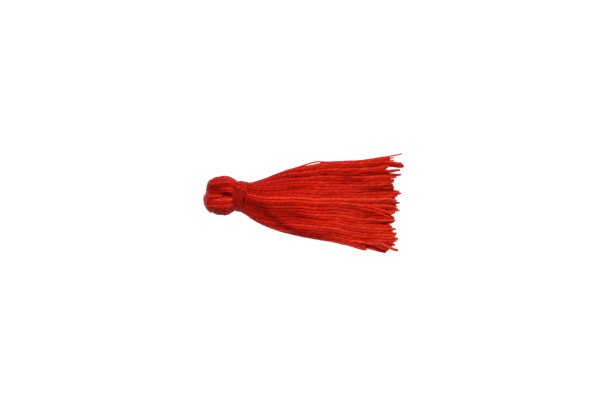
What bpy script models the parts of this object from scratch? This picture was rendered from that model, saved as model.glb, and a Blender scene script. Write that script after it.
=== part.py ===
"""A small silk tassel lying on its side: one hank of plied thread, folded over and bound at the neck.

The head, with the fold, points to -X and the cut ends to +X. Z is up and the tassel lies on z = 0.
Tables and sizes are in millimetres, and the objects are in metres. The origin is the bottom centre
of the whole tassel's box.
"""

import math

import bmesh
import bpy
import numpy as np

MM = 0.001
WELD = 0.02
STRAND_WELD = 0.005

# The neck, where the binding draws the hank in. Its axis leans from +X towards -Y.
NECK_X = -12.73
NECK_Y = 1.28
AXIS_HEIGHT = 3.55
NECK_RADIUS = 2.35
NECK_LEAN = math.radians(11.0)
LEAN_FADE = 3.2

# The binding: a few turns of thread round the neck.
BINDING_GAP = 0.3
BINDING_WIDTH = 2.5
BINDING_TURNS = 4
BINDING_INNER = NECK_RADIUS + BINDING_GAP
BINDING_GROOVE = 2.94
BINDING_OUTER = 3.11
POINTS_PER_TURN = 4
BINDING_STEPS = 40

# The head: threads run from the neck, over the crown and back under, side by side.
CROWN_REACH = 3.95
UPPER_LOBE_SETBACK = 0.13
UPPER_LOBE_START = -0.1
UPPER_LOBE_STEP = 0.3
CORNER_POWER_UPPER = 2.9
CORNER_POWER_LOWER = 2.8
LOWER_LOBE_TAPER = 0.15
SECTION_POWER_NECK = 2.0
SECTION_POWER_HEAD = 2.3
CROWN_POWER = 2.6
HEAD_RIBS = 13
EVEN_RIBS_SHARE = 0.45
POINTS_PER_RIB = 3
RIB_RELIEF = 0.13
CROWN_ROWS = 11
# The cleft between the head's two lobes, on the side that faces up. It is deepest by the binding.
CLEFT_HALF_WIDTH = 0.14
CLEFT_Y_AT_NECK = -0.09
CLEFT_Y_PER_MM = 0.10
CLEFT_HOLLOWS = [
    dict(x=-2.5, depth=1.35, length=1.1),
    dict(x=-4.6, depth=0.55, length=1.6),
]

# Sections of the body along the neck's axis, from the skirt's roots to the head's widest place.
BODY_SECTIONS = [
    dict(x=1.95, upper=3.38, lower=3.38, up=3.38, down=3.38),
    dict(x=1.55, upper=3.16, lower=3.16, up=3.16, down=3.16),
    dict(x=1.47, upper=NECK_RADIUS, lower=NECK_RADIUS, up=NECK_RADIUS, down=NECK_RADIUS),
    dict(x=-1.47, upper=NECK_RADIUS, lower=NECK_RADIUS, up=NECK_RADIUS, down=NECK_RADIUS),
    dict(x=-1.55, upper=3.12, lower=3.85, up=3.00, down=3.10),
    dict(x=-2.10, upper=3.56, lower=4.12, up=3.42, down=3.55),
    dict(x=-2.80, upper=3.92, lower=4.15, up=3.67, down=3.82),
    dict(x=-3.50, upper=4.02, lower=3.96, up=3.75, down=3.86),
]
SKIRT_FACE = 0
HEAD_FACE = 4

# The skirt's outline seen from above and its height, as it fans out and settles on the surface.
SKIRT_SECTIONS = [
    dict(x=-10.9, upper=4.25, lower=-2.55, top=6.90, middle=3.50),
    dict(x=-9.6, upper=4.80, lower=-3.60, top=6.55, middle=3.00),
    dict(x=-8.2, upper=5.45, lower=-4.65, top=6.00, middle=2.60),
    dict(x=-5.6, upper=6.55, lower=-6.05, top=5.30, middle=2.00),
    dict(x=-2.4, upper=7.55, lower=-6.90, top=4.75, middle=1.70),
    dict(x=0.8, upper=8.05, lower=-7.50, top=4.35, middle=1.50),
    dict(x=4.0, upper=8.60, lower=-8.10, top=4.05, middle=1.35),
    dict(x=7.2, upper=8.90, lower=-8.75, top=3.80, middle=1.20),
    dict(x=10.4, upper=8.90, lower=-9.50, top=3.60, middle=1.10),
    dict(x=13.6, upper=9.15, lower=-9.85, top=3.45, middle=1.00),
    dict(x=16.8, upper=9.70, lower=-10.10, top=3.30, middle=0.95),
    dict(x=20.2, upper=10.40, lower=-10.10, top=3.15, middle=0.90),
]

# How far the cut ends reach, by where they lie across the fan.
CUT_ENDS = [
    dict(y=-9.60, reach=16.9),
    dict(y=-8.90, reach=18.9),
    dict(y=-7.90, reach=18.2),
    dict(y=-6.80, reach=18.9),
    dict(y=-5.90, reach=18.5),
    dict(y=-4.90, reach=18.7),
    dict(y=-3.90, reach=18.1),
    dict(y=-3.20, reach=19.0),
    dict(y=-2.20, reach=18.3),
    dict(y=-1.40, reach=19.4),
    dict(y=-0.60, reach=18.6),
    dict(y=0.10, reach=19.3),
    dict(y=1.00, reach=18.3),
    dict(y=1.90, reach=19.4),
    dict(y=3.10, reach=18.2),
    dict(y=4.40, reach=18.0),
    dict(y=5.20, reach=18.8),
    dict(y=5.70, reach=19.5),
    dict(y=6.50, reach=19.3),
    dict(y=7.20, reach=20.05),
    dict(y=8.10, reach=20.15),
    dict(y=9.00, reach=18.0),
    dict(y=9.70, reach=19.8),
]
HIDDEN_END_LOSS = 1.1
LOWEST_DOME = 0.1
# A lock on top of the lower edge that was cut short.
SHORT_LOCK = dict(y_below=-8.1, z_above=0.75, reach=12.9, unevenness=0.6)
# The strand that stands off the upper edge for a short way.
LOOSE_STRAND = dict(x=1.6, length=1.9, bow=0.5)

# The skirt's strands. They are pushed apart by a thread's width, so none touches another.
STRANDS = 88
STRAND_RADIUS = 0.30
STRAND_RADIUS_AT_ROOT = 0.255
POINTS_TO_FULL_RADIUS = 2
TIP_TAPER = 0.55
TIP_LENGTH = 0.7
ROOT_DEPTH = 0.35
ROOT_SPACING = 0.575
THREAD_SPACING = 0.68
EDGE_MARGIN = 0.27
SIDEWAYS_FAN = 1.22
WANDER = 0.30
WANDER_WAVES = (0.5, 1.1)
# By these shares of its length the skirt has its full thread spacing and its flat underside.
FULL_SPACING_SHARE = 0.20
FLAT_UNDERSIDE_SHARE = 0.25
SEED = 7
# The settling: where along the skirt it is done, and how many rounds of bending and of parting.
STATIONS = 12
STATION_POWER = 1.3
ROOT_ROUNDS = 400
SETTLING_ROUNDS = 260
SPREADING_ROUNDS = 240
BENDING = 0.30
PARTING = 0.42
FAR_AWAY = 10.0

RED = (0.52, 0.012, 0.006, 1.0)
DARK_RED = (0.33, 0.008, 0.006, 1.0)
ROUGHNESS = 0.50
WOUND_ROUGHNESS = 0.55
SHEEN = 0.4


def clear_scene():
    for obj in list(bpy.data.objects):
        bpy.data.objects.remove(obj, do_unlink=True)


def new_collection(name):
    collection = bpy.data.collections.new(name)
    bpy.context.scene.collection.children.link(collection)
    return collection


def silk_material(name, colour, roughness):
    material = bpy.data.materials.new(name)
    material.use_nodes = True
    shader = material.node_tree.nodes["Principled BSDF"]
    shader.inputs["Base Color"].default_value = colour
    shader.inputs["Roughness"].default_value = roughness
    shader.inputs["Metallic"].default_value = 0.0
    shader.inputs["Sheen Weight"].default_value = SHEEN
    return material


def column(rows, name):
    return np.array([row[name] for row in rows])


def eased(value):
    """A smooth step from 0 to 1."""
    value = np.clip(value, 0, 1)
    return value * value * (3 - 2 * value)


def leaned(x, y):
    """A point given along and across the neck's axis, turned by the lean, which fades out in the head."""
    angle = NECK_LEAN * eased(1 + (x + BINDING_WIDTH / 2) / LEAN_FADE)
    turned_x = x * np.cos(angle) + y * np.sin(angle)
    turned_y = y * np.cos(angle) - x * np.sin(angle)
    return NECK_X + turned_x, NECK_Y + turned_y


def crown_share(eta):
    """How far the fold reaches at each place across the head, as a share of its reach in the middle."""
    power = np.where(eta > 0, CORNER_POWER_UPPER, CORNER_POWER_LOWER)
    corner = np.clip(1 - np.abs(eta) ** power, 0, 1) ** (1 / power)
    return corner * (1 - UPPER_LOBE_SETBACK * eased((eta - UPPER_LOBE_START) / UPPER_LOBE_STEP))


def body_path(eta):
    """The line that a thread at eta follows: along the neck, over the crown and back under it.

    It gives x along the axis, the half width there, and the height above the axis where the head is
    highest, which is negative underneath.
    """
    x = column(BODY_SECTIONS, "x")
    width = column(BODY_SECTIONS, "upper" if eta > 0 else "lower")
    up = column(BODY_SECTIONS, "up")
    down = column(BODY_SECTIONS, "down")
    turn = np.linspace(0, math.pi, CROWN_ROWS + 2)[1:-1]
    forward = np.sin(turn) ** (2 / CROWN_POWER)
    height = np.sign(np.cos(turn)) * np.abs(np.cos(turn)) ** (2 / CROWN_POWER)
    crown_x = x[-1] - CROWN_REACH * crown_share(eta) * forward
    taper = 0.0 if eta > 0 else LOWER_LOBE_TAPER
    crown_width = width[-1] * (1 - taper * crown_share(eta) * forward)
    crown_z = np.where(height > 0, up[-1], down[-1]) * height
    path_x = np.concatenate([x, crown_x, x[::-1]])
    path_width = np.concatenate([width, crown_width, width[::-1]])
    path_z = np.concatenate([up, crown_z, -down[::-1]])
    return path_x, path_width, path_z


def cleft_depth(eta, x):
    """How far the cleft sinks the top of the head."""
    middle = CLEFT_Y_AT_NECK - CLEFT_Y_PER_MM * (x - CLEFT_HOLLOWS[0]["x"])
    across = np.exp(-(((eta - middle) / CLEFT_HALF_WIDTH) ** 2))
    along = sum(
        hollow["depth"] * np.exp(-(((x - hollow["x"]) / hollow["length"]) ** 2))
        for hollow in CLEFT_HOLLOWS
    )
    return across * along


def body_mesh():
    """The head, neck and roots as one closed skin, ribbed by its threads and cleft on top."""
    columns = HEAD_RIBS * POINTS_PER_RIB + 1
    evenly = np.linspace(-1, 1, columns)
    rounded = -np.cos(np.linspace(0, math.pi, columns))
    etas = EVEN_RIBS_SHARE * evenly + (1 - EVEN_RIBS_SHARE) * rounded
    ribs = -np.cos(np.linspace(0, 2 * math.pi * HEAD_RIBS, columns))
    mesh = bmesh.new()
    grid = []
    for eta, rib in zip(etas, ribs):
        x, width, z = body_path(eta)
        in_head = np.clip(BODY_SECTIONS[HEAD_FACE]["x"] - x, 0, 1)
        swell = 1 + RIB_RELIEF / BODY_SECTIONS[-1]["up"] * rib * in_head
        power = SECTION_POWER_NECK + (SECTION_POWER_HEAD - SECTION_POWER_NECK) * in_head
        section = np.clip(1 - abs(eta) ** power, 0, 1) ** (1 / power)
        z = z * section * swell - np.where(z > 0, cleft_depth(eta, x) * in_head, 0)
        world_x, world_y = leaned(x, width * eta * swell)
        world_z = np.maximum(z + AXIS_HEIGHT, 0)
        places = np.stack([world_x, world_y, world_z], axis=1) * MM
        grid.append([mesh.verts.new(place) for place in places])
    for one, other in zip(grid, grid[1:]):
        for row in range(len(one) - 1):
            mesh.faces.new((one[row], other[row], other[row + 1], one[row + 1]))
    mesh.faces.new([line[0] for line in grid] + [line[-1] for line in reversed(grid)])
    bmesh.ops.remove_doubles(mesh, verts=mesh.verts, dist=WELD * MM)
    bmesh.ops.recalc_face_normals(mesh, faces=mesh.faces)
    data = bpy.data.meshes.new("hank")
    mesh.to_mesh(data)
    mesh.free()
    return data


def sunflower(count):
    """Points spread evenly over a disc of radius 1."""
    number = np.arange(count)
    radius = np.sqrt((number + 0.5) / count)
    angle = number * math.pi * (3 - math.sqrt(5))
    return np.stack([radius * np.cos(angle), radius * np.sin(angle)], axis=1)


def kept_inside(points, centre, half, flatness, floor):
    """Points moved back into each station's section and up onto the surface.

    The section is an ellipse above its middle. Below that its sides drop straight to the surface
    where the flatness is 1, and curve in again where it is 0.
    """
    offset = (points - centre[:, None]) / half[:, None]
    below = offset[:, :, 1] < 0
    felt = np.where(below, offset[:, :, 1] * (1 - flatness[:, None]), offset[:, :, 1])
    outside = np.maximum(np.sqrt(offset[:, :, 0] ** 2 + felt**2), 1)
    points = centre[:, None] + offset / outside[:, :, None] * half[:, None]
    points[:, :, 1] = np.maximum(points[:, :, 1], floor)
    return points


def push_apart(points, spacing):
    """The move that parts each pair of strands nearer than the spacing at a station."""
    away = points[:, :, None] - points[:, None]
    distance = np.sqrt((away**2).sum(axis=3)) + FAR_AWAY * np.eye(points.shape[1])
    push = np.clip(spacing[:, None, None] - distance, 0, None) / distance
    return PARTING * (away * push[:, :, :, None]).sum(axis=2)


def root_places():
    """Where the strands spring from the end of the neck: (y, z) about its axis."""
    room = BODY_SECTIONS[SKIRT_FACE]["lower"] - STRAND_RADIUS_AT_ROOT
    half = np.full((1, 2), room)
    centre = np.zeros((1, 2))
    points = sunflower(STRANDS)[None] * room
    for _ in range(ROOT_ROUNDS):
        points = points + push_apart(points, np.array([ROOT_SPACING]))
        points = kept_inside(points, centre, half, np.zeros(1), -room)
    return points[0]


def skirt_sections(x):
    """The centre and half size, across and up, that the strands' lines keep within at each x."""
    rows_x = column(SKIRT_SECTIONS, "x")
    upper = np.interp(x, rows_x, column(SKIRT_SECTIONS, "upper")) - EDGE_MARGIN
    lower = np.interp(x, rows_x, column(SKIRT_SECTIONS, "lower")) + EDGE_MARGIN
    top = np.interp(x, rows_x, column(SKIRT_SECTIONS, "top")) - EDGE_MARGIN
    middle = np.interp(x, rows_x, column(SKIRT_SECTIONS, "middle"))
    centre = np.stack([(upper + lower) / 2, middle], axis=1)
    half = np.stack([(upper - lower) / 2, top - middle], axis=1)
    return centre, half


def skirt_paths():
    """x of each station for each strand, and the strands' (y, z) there, in millimetres."""
    random = np.random.default_rng(SEED)
    root_x, root_y = leaned(BODY_SECTIONS[SKIRT_FACE]["x"], 0.0)
    share = np.linspace(0, 1, STATIONS)
    station_x = root_x + (SKIRT_SECTIONS[-1]["x"] - root_x) * share**STATION_POWER
    centre, half = skirt_sections(station_x)
    roots = root_places()
    fan = roots / np.abs(roots).max() * np.array([SIDEWAYS_FAN, 1.0])
    points = centre[:, None] + fan * half[:, None]
    phase = random.uniform(0, 2 * math.pi, STRANDS)
    waves = random.uniform(*WANDER_WAVES, STRANDS)
    sway = np.sin(share[:, None] * 2 * math.pi * waves + phase)
    points[:, :, 0] += WANDER * sway * share[:, None]
    roots = roots + np.array([root_y, AXIS_HEIGHT])
    points[0] = roots
    spread = np.clip(share / FULL_SPACING_SHARE, 0, 1)
    spacing = ROOT_SPACING + (THREAD_SPACING - ROOT_SPACING) * spread
    half_way = (spacing[:-1] + spacing[1:]) / 2
    flatness = np.clip(share / FLAT_UNDERSIDE_SHARE, 0, 1)
    floor = STRAND_RADIUS * math.cos(math.pi / 4)
    for turn in range(SETTLING_ROUNDS + SPREADING_ROUNDS):
        if turn < SETTLING_ROUNDS:
            fan = (points - centre[:, None]) / half[:, None]
            fan[1:-1] += BENDING * (fan[:-2] + fan[2:] - 2 * fan[1:-1])
            points = centre[:, None] + fan * half[:, None]
        between = push_apart((points[:-1] + points[1:]) / 2, half_way)
        points[:-1] += between
        points[1:] += between
        points = points + push_apart(points, spacing)
        points = kept_inside(points, centre, half, flatness, floor)
        points[0] = roots
    lean = math.sin(NECK_LEAN) * (roots[:, 0] - root_y) * (1 - flatness[:, None])
    return station_x[:, None] + lean, points


def cut_end(y, z, random):
    """Where a strand is cut: the table's reach if it shows on top, and a little less if it is hidden."""
    if y < SHORT_LOCK["y_below"] and z > SHORT_LOCK["z_above"]:
        return SHORT_LOCK["reach"] - SHORT_LOCK["unevenness"] * random.random()
    reach = np.interp(y, column(CUT_ENDS, "y"), column(CUT_ENDS, "reach"))
    end_section = SKIRT_SECTIONS[-1]
    dome = math.sqrt(max(1 - (y / end_section["upper"]) ** 2, LOWEST_DOME))
    depth_share = max(1 - z / (end_section["top"] * dome), 0.0)
    return reach - HIDDEN_END_LOSS * depth_share * random.random()


def strand_lines():
    """Each strand's points, from inside the roots to its cut end, in millimetres."""
    random = np.random.default_rng(SEED + 1)
    x, points = skirt_paths()
    outermost = int(np.argmax(points[STATIONS // 2, :, 0]))
    inward = np.array([-math.cos(NECK_LEAN), math.sin(NECK_LEAN), 0.0])
    lines = []
    for strand in range(STRANDS):
        line_x = x[:, strand]
        y, z = points[:, strand, 0], points[:, strand, 1]
        if strand == outermost:
            away = (line_x - LOOSE_STRAND["x"]) / LOOSE_STRAND["length"]
            y = y + LOOSE_STRAND["bow"] * np.exp(-(away**2))
        end = cut_end(y[-2], z[-2], random)
        kept = line_x < end - TIP_LENGTH
        line = np.stack([line_x[kept], y[kept], z[kept]], axis=1)
        tip = [end, np.interp(end, line_x, y), np.interp(end, line_x, z)]
        line = np.vstack([line, tip])
        line[0] += ROOT_DEPTH * inward
        lines.append(line)
    return lines


def strands_object(collection):
    """All the strands as one curve of four-sided tubes, made a mesh with its caps welded."""
    curve = bpy.data.curves.new("strand_lines", "CURVE")
    curve.dimensions = "3D"
    curve.twist_mode = "Z_UP"
    curve.bevel_depth = STRAND_RADIUS * MM
    curve.bevel_resolution = 0
    curve.use_fill_caps = True
    root_share = STRAND_RADIUS_AT_ROOT / STRAND_RADIUS
    for line in strand_lines():
        spline = curve.splines.new("POLY")
        spline.points.add(len(line) - 1)
        for number, (point, place) in enumerate(zip(spline.points, line)):
            point.co = (*(place * MM), 1)
            point.tilt = math.pi / 4
            point.radius = root_share + (1 - root_share) * min(number / POINTS_TO_FULL_RADIUS, 1)
        spline.points[-1].radius = TIP_TAPER
    tubes = bpy.data.objects.new("strands_curve", curve)
    collection.objects.link(tubes)
    bpy.context.view_layer.update()
    evaluated = tubes.evaluated_get(bpy.context.evaluated_depsgraph_get())
    data = bpy.data.meshes.new_from_object(evaluated)
    bpy.data.objects.remove(tubes)
    mesh = bmesh.new()
    mesh.from_mesh(data)
    bmesh.ops.remove_doubles(mesh, verts=mesh.verts, dist=STRAND_WELD * MM)
    bmesh.ops.recalc_face_normals(mesh, faces=mesh.faces)
    mesh.to_mesh(data)
    mesh.free()
    strands = bpy.data.objects.new("strands", data)
    collection.objects.link(strands)
    strands.hide_render = True
    strands.display_type = "WIRE"
    return strands


def hank_object(collection, helpers):
    """The folded hank: its head and neck joined to the skirt's strands at their roots."""
    hank = bpy.data.objects.new("hank", body_mesh())
    collection.objects.link(hank)
    hank.data.materials.append(silk_material("silk_red", RED, ROUGHNESS))
    union = hank.modifiers.new("roots", "BOOLEAN")
    union.operation = "UNION"
    union.object = strands_object(helpers)
    return hank


def binding_object(collection):
    """The binding: a ring turned from a profile with a ridge for each turn of its thread."""
    half = BINDING_WIDTH / 2
    profile = [(BINDING_INNER, half)]
    for number in range(BINDING_TURNS * POINTS_PER_TURN + 1):
        along = half - BINDING_WIDTH * number / (BINDING_TURNS * POINTS_PER_TURN)
        ridge = abs(math.sin(math.pi * number / POINTS_PER_TURN))
        profile.append((BINDING_GROOVE + (BINDING_OUTER - BINDING_GROOVE) * ridge, along))
    profile.append((BINDING_INNER, -half))
    mesh = bmesh.new()
    points = [mesh.verts.new((radius * MM, 0, along * MM)) for radius, along in profile]
    for one, other in zip(points, points[1:] + points[:1]):
        mesh.edges.new((one, other))
    data = bpy.data.meshes.new("neck_binding")
    mesh.to_mesh(data)
    mesh.free()
    ring = bpy.data.objects.new("neck_binding", data)
    collection.objects.link(ring)
    screw = ring.modifiers.new("turned", "SCREW")
    screw.steps = BINDING_STEPS
    screw.render_steps = BINDING_STEPS
    screw.use_merge_vertices = True
    screw.merge_threshold = STRAND_WELD * MM
    screw.use_normal_calculate = True
    ring.rotation_euler = (0, math.pi / 2, -NECK_LEAN)
    ring.location = (NECK_X * MM, NECK_Y * MM, AXIS_HEIGHT * MM)
    ring.data.materials.append(silk_material("silk_dark_red", DARK_RED, WOUND_ROUGHNESS))
    return ring


def centre_on_box(objects):
    """Moves the tassel so that the origin is the bottom centre of its box."""
    bpy.context.view_layer.update()
    graph = bpy.context.evaluated_depsgraph_get()
    corners = []
    for obj in objects:
        evaluated = obj.evaluated_get(graph)
        data = evaluated.to_mesh()
        corners += [evaluated.matrix_world @ vertex.co for vertex in data.vertices]
        evaluated.to_mesh_clear()
    low = [min(corner[axis] for corner in corners) for axis in range(3)]
    high = [max(corner[axis] for corner in corners) for axis in range(3)]
    base = bpy.data.objects.new("tassel", None)
    objects[0].users_collection[0].objects.link(base)
    base.location = (-(low[0] + high[0]) / 2, -(low[1] + high[1]) / 2, -low[2])
    for obj in objects:
        obj.parent = base
    return base


def main():
    clear_scene()
    tassel = new_collection("silk_tassel")
    helpers = new_collection("helpers")
    hank = hank_object(tassel, helpers)
    ring = binding_object(tassel)
    base = centre_on_box([hank, ring])
    hank.modifiers["roots"].object.parent = base


main()
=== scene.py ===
"""A small red silk tassel lying on a white surface, seen from straight above.

Every thread is made as two twisted plies. Tables and sizes are in millimetres and meshes in metres,
and what is made is shifted to where the binding's box is.
"""

import math

import bpy
import numpy as np
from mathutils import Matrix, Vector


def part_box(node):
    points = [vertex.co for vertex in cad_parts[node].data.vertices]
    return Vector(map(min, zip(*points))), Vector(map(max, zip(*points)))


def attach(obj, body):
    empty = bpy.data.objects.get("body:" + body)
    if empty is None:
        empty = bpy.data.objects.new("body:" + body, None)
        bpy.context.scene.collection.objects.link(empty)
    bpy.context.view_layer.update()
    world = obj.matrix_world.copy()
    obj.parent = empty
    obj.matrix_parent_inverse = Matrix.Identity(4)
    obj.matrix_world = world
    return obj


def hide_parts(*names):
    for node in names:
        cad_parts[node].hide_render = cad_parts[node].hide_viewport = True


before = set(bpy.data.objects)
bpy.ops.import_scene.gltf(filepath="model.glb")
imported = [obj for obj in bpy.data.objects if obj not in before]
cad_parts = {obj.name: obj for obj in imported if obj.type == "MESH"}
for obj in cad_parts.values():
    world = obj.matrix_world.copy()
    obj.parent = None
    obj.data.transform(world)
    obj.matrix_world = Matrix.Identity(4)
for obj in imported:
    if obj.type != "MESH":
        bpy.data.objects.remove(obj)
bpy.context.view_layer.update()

MM = 0.001


def table(names, *rows):
    """Rows of values, each with its name."""
    return [dict(zip(names.split(), row)) for row in rows]


def column(rows, name):
    return np.array([row[name] for row in rows])


# The photograph: its pixels across and the millimetres to a pixel, at a height above the surface.
PHOTO_WIDTH = 608
MM_PER_PIXEL = 0.2
LENS = 200.0
SENSOR = 36.0
FOCUS_HEIGHT = 2.5

# The neck, where the binding draws the hank in. Its axis leans from +X towards -Y.
NECK_X = -12.73
NECK_Y = 1.28
AXIS_HEIGHT = 3.55
NECK_LEAN = math.radians(11.0)
LEAN_START = 1.25
LEAN_FADE = 3.2
ROOT_X = 1.95

# The thread: two plies twisted round each other, and the length of one full turn of them.
THREAD_RADIUS = 0.335
TWIST_LENGTH = 1.36
TWIST_LENGTHS = (1.35, 1.85)
TWIST_WAVES = (1.9, 4.7)
TWIST_UNEVENNESS = 0.5
SEGMENTS_PER_TURN = 9
PLY_SIDES = 6
PLY_BREADTH = 1.15
PLY_WAVES = (7.3, 13.1)
PLY_UNEVENNESS = 0.05
PLY_END_SHARE = 0.72
PLY_END_SAMPLES = 5
FLOOR_CLEARANCE = 1.04
FLOOR_TOUCH = 0.97
ANY_DIRECTION = np.array([0.3, 0.2, 1.0])

# The relief is how far each ply stands off the thread's axis, as a share of its radius. A skirt
# thread untwists and grows smoother towards its cut end.
RELIEF = 0.27
RELIEF_LOSS = 0.66
UNTWIST = 1.1
UNTWIST_START = -7.0
UNTWIST_LENGTH = 18.0

# Its fibres turn round each ply and its lightness varies along it. Painted shade darkens each ply
# where it lies against the other, by GROOVE_SHADE times the relief past GROOVE_START.
FIBRE_LAY = 0.8
FIBRE_OFFSET = 7.3
LAY_RANGE = 6.0
PLY_TONE_SPREAD = 0.03
TONE_WAVES = (1.7, 4.3)
TONE_WANDER = 0.10
GROOVE_SHADE = 0.90
GROOVE_START = 0.10

# A frayed end: how long it is, and how its plies untwist, part and thin there.
FRAYED_SHARE = 0.35
FRAY_RANGE = (0.2, 0.9)
FRAY_LENGTH = 1.7
FRAY_POWER = 1.6
FRAY_UNTWIST = 0.35
FRAY_SPREAD = 1.6
FRAY_THINNING = 0.10

# A single ply or fibre: the distance between its samples, its fibres' lay and its tip.
STRAND_STEP = 0.16
STRAND_LAY = 2.5
STRAND_FACING = np.array([0.0, 0.3, 1.0])
STRAND_TIP = (0.9, 0.75, 0.5)

# Each ply is unwrapped as a strip across the bake map, with its ends as small discs.
STRIP_START = 0.002
STRIP_MARGIN = 0.15
CAP_PLACE = 0.001
CAP_HALF_LENGTH = 0.0008
CAP_HALF_WIDTH = 0.3

# The head, for the lines that its threads follow. From LOBE_EDGE on its upper lobe is set back. The
# insets count within INSET_REACH of the crown, and the cleft ends at CLEFT_END_X.
CROWN_REACH = 3.95
UPPER_LOBE_SETBACK = 0.13
CORNER_POWER_UPPER = 3.05
CORNER_POWER_LOWER = 2.8
LOWER_LOBE_TAPER = 0.15
SECTION_POWER = 2.3
CROWN_POWER = 2.6
CROWN_ROWS = 15
LOBE_EDGE = -0.1
LOBE_EDGE_WIDTH = 0.3
INSET_REACH = 2.4
LEAST_REACH = 1.0
CLEFT_END_X = -1.0
CLEFT_ETA_PER_MM = 0.06
# Each hollow of the cleft sinks the top of the head, and its shade is painted shade on the threads
# there.
CLEFT_HOLLOWS = [
    dict(x=-2.70, eta=0.01, half_width=0.11, depth=2.40, length=1.00, shade=0.45),
    dict(x=-5.00, eta=0.28, half_width=0.27, depth=0.90, length=1.70, shade=0.46),
]
HEAD_SECTIONS = table(
    "x upper lower up down",
    (-0.40, 2.35, 2.35, 2.35, 2.35),
    (-1.00, 2.65, 3.25, 2.50, 2.55),
    (-1.55, 3.14, 3.95, 2.95, 3.05),
    (-2.10, 3.48, 4.22, 3.42, 3.52),
    (-2.80, 3.84, 4.24, 3.67, 3.82),
    (-3.50, 4.06, 3.98, 3.75, 3.86),
)
HEAD_THREAD_RADIUS = 0.27
HEAD_TWIST_LENGTH = 0.95
HEAD_RELIEF = 0.31
# HEAD_TONE is painted shade that darkens all the head's threads.
HEAD_TONE = -0.18
HEAD_TONE_SPREAD = 0.15
HEAD_SIDEWAYS = dict(waves=(1.3, 3.1), size=0.08)
HEAD_UPWARD = dict(waves=(1.7, 2.9), size=0.06)
# Painted shade darkens the threads on the head's lower side, from LOWER_SIDE_START across
# LOWER_SIDE_WIDTH.
LOWER_SIDE_SHADE = 0.26
LOWER_SIDE_START = 0.50
LOWER_SIDE_WIDTH = 0.45
HEAD_LAYERS = [
    dict(threads=31, inset=0.26, deeper=0.0),
    dict(threads=17, inset=0.40, deeper=0.22),
]
LAST_ETA = 0.985

# Smaller loops inside these fill the fold: each one's place across the head, and its size.
INNER_LOOPS = [
    (0.95, 0.45), (0.95, 0.14), (0.86, 0.70), (0.86, 0.38),
    (0.74, 0.78), (0.74, 0.56), (0.74, 0.34), (0.74, 0.14),
]
INNER_SINK = 0.45
INNER_STEP_SHARE = 1.3
INNER_TONE_SPREAD = 0.06

# For the height of the head at a point seen from above.
INVERSE_STEPS = 20
ETA_LIMIT = 0.98
FORWARD_LIMIT = 0.99

# Threads that stand out on the head: (x, y) seen from above, from the fold to the binding. Each
# rises above the surface, and starts sunk into the fold.
LOWER_ROPE = [
    (-18.10, 0.24), (-17.52, 0.46), (-16.62, 0.58), (-15.62, 0.62), (-14.82, 0.66), (-14.12, 0.66),
]
# Its tone is painted light: a painted highlight along the rope.
LOWER_ROPE_LOOK = dict(rise=0.08, sink=0.6, radius=0.29, tone=0.38, relief=0.5)
CLEFT_EDGE_PLY = [
    (-19.90, 0.84), (-19.42, 1.08), (-18.82, 1.20), (-18.02, 1.28), (-17.02, 1.32),
    (-16.22, 1.26), (-15.42, 1.08), (-14.62, 0.96),
]
# Its tone is painted light too, a bright ply along the lit edge of the lower lobe.
CLEFT_EDGE_LOOK = dict(rise=0.02, sink=0.4, radius=0.15, tone=0.12)
UPPER_ROPE = [
    (-19.22, 2.88), (-18.72, 3.28), (-18.02, 3.54), (-17.22, 3.76), (-16.22, 3.88),
    (-15.22, 3.88), (-14.72, 3.80),
]
UPPER_ROPE_LOOK = dict(rise=0.0, sink=0.5, radius=0.24, tone=-0.19, relief=0.42)
ROPE_TWIST_LENGTH = 0.84

# The upper rope goes on aslant over the binding and ends as its last turn: the angle from the top
# of the neck in degrees, the place along its axis and the distance from it.
LAST_TURN = [
    (41, -1.90, 3.20), (43, -1.32, 3.32), (45, -0.52, 3.34), (41, 0.13, 3.30),
    (33, 0.70, 3.15), (19, 1.09, 2.95), (1, 1.25, 2.90), (-18, 1.28, 2.88),
    (-40, 1.15, 2.86), (-67, 0.95, 2.84), (-100, 0.78, 2.84), (-150, 0.80, 2.84),
    (-200, 0.80, 2.84), (-250, 0.72, 2.80), (-285, 0.60, 2.50), (-300, 0.50, 2.10),
]

# Two threads beside it that cross the binding too and end under that turn, in the same measures.
BINDING_CROSSINGS = [
    [
        (37, -2.10, 3.05), (36, -1.50, 3.28), (36, -0.60, 3.30),
        (32, 0.10, 3.25), (26, 0.60, 3.10), (19, 0.95, 2.85),
    ],
    [(30, -2.10, 3.00), (29, -1.50, 3.22), (29, -0.60, 3.24), (27, -0.05, 3.16), (24, 0.35, 2.90)],
]
BINDING_CROSSING_LOOK = dict(radius=0.26, tone=0.04, relief=0.42)

# The binding's other turns: where each lies along the neck's axis, on top and at the sides.
BINDING_TURNS = [
    (-1.50, -0.72), (-1.08, -0.46), (-0.66, -0.20), (-0.24, 0.06), (0.16, 0.32), (0.62, 0.72),
]
BINDING_STEPS = 40
BINDING_RADIUS = 2.79
BINDING_WAVES = (9.1, 14.3)
BINDING_UNEVENNESS = 0.03
TUCK_DEPTH = 1.5
BINDING_THREAD_RADIUS = 0.34
BINDING_RELIEF = 0.09
BINDING_TONE = -0.17
BINDING_SLANT_FIRST = 0.80
BINDING_SLANT_LAST = 0.15
UPPER_SLANT_SHARE = 0.35

# A slot before the last turn, near the top of the neck.
SLOT_ANGLE = 6.0
SLOT_HALF_ANGLE = 23.0
SLOT_POWER = 4
SLOT_SHIFT = 0.36
SLOT_DEPTH = 0.25

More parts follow.
